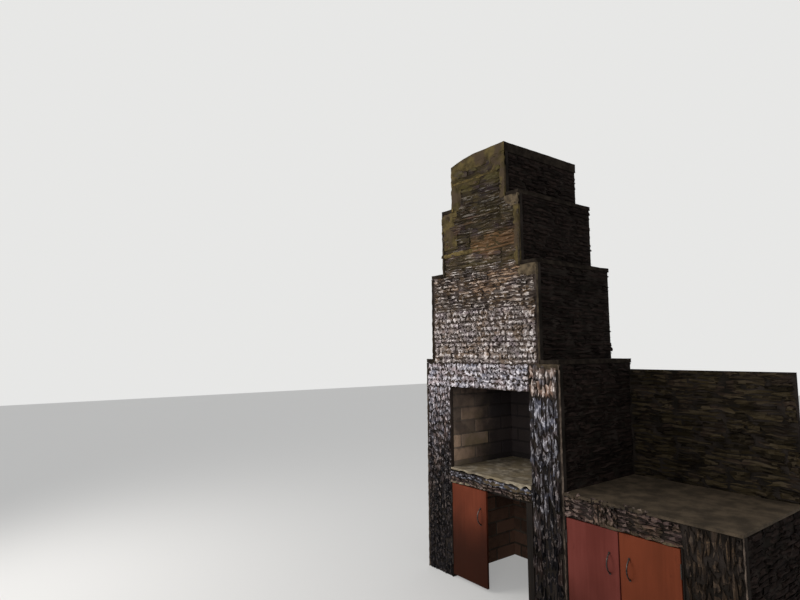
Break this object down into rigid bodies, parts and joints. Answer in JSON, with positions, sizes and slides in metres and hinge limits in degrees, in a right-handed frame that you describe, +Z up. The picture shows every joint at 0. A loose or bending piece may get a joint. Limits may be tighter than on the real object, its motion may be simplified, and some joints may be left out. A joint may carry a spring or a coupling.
{
  "type": "barbecue fireplace",
  "caption": "Built-in barbecue fireplace with a stepped stone-clad chimney breast, a hearth over a half-open cupboard, and a side counter with hinged doors and a splashback.",
  "frame": {"origin": "middle of the footprint's bounding box, on the floor", "axes": "+Z up, -Y towards the person at the fire, +X along the counter to the right as seen from the front"},
  "size_m": [2.25, 0.859, 3.117],
  "materials": {
    "brick": "matte",
    "sooty_brick": "matte",
    "plaster": "matte",
    "mortar": "matte",
    "stone_cladding": "gloss",
    "screed": "matte",
    "timber": "matte",
    "red_board": "satin",
    "handle_metal": "satin",
    "hinge_steel": "satin"
  },
  "bodies": {
    "masonry": {"left_base_wall": "brick", "right_base_wall": "brick", "rear_base_wall": "brick", "hearth_slab": "plaster", "hearth_plaster": "plaster", "left_firebox_wall": "sooty_brick", "right_firebox_wall": "sooty_brick", "fire_back": "sooty_brick", "lintel": "plaster", "lower_stack": "brick", "middle_stack": "brick", "upper_stack": "brick", "shoulder_mortar": "mortar", "chimney_top_mortar": "mortar", "left_pier_cladding": "stone_cladding", "right_pier_cladding": "stone_cladding", "breast_cladding": "stone_cladding", "hearth_edge_cladding": "stone_cladding", "lower_stack_cladding": "stone_cladding", "middle_stack_cladding": "stone_cladding", "upper_stack_cladding": "stone_cladding", "left_side_cladding": "stone_cladding", "right_side_cladding": "stone_cladding", "counter_pier": "brick", "counter_rear_wall": "brick", "counter_slab": "plaster", "counter_screed": "screed", "counter_band_cladding": "stone_cladding", "counter_pier_cladding": "stone_cladding", "counter_end_cladding": "stone_cladding", "splashback": "stone_cladding", "hearth_cupboard_frame": "timber", "counter_cupboard_frame": "timber", "hearth_hinge_pins": "hinge_steel", "counter_left_hinge_pins": "hinge_steel", "counter_right_hinge_pins": "hinge_steel"},
    "hearth_door_leaf": {"hearth_door": "red_board", "hearth_door_handle": "handle_metal", "hearth_door_hinges": "hinge_steel"},
    "counter_left_door_leaf": {"counter_left_door": "red_board", "counter_left_handle": "handle_metal", "counter_left_hinges": "hinge_steel"},
    "counter_right_door_leaf": {"counter_right_door": "red_board", "counter_right_handle": "handle_metal", "counter_right_hinges": "hinge_steel"}
  },
  "joints": [
    {"name": "hearth_door_hinge", "type": "hinge", "parent": "masonry", "child": "hearth_door_leaf", "pos_m": [-0.85225, -0.398, 0.349], "axis": [0, 0, -1], "range_deg": [0, 110]},
    {"name": "counter_left_door_hinge", "type": "hinge", "parent": "masonry", "child": "counter_left_door_leaf", "pos_m": [0.15275, -0.398, 0.3385], "axis": [0, 0, -1], "range_deg": [0, 110]},
    {"name": "counter_right_door_hinge", "type": "hinge", "parent": "masonry", "child": "counter_right_door_leaf", "pos_m": [0.82825, -0.398, 0.3385], "axis": [0, 0, 1], "range_deg": [0, 110]}
  ]
}
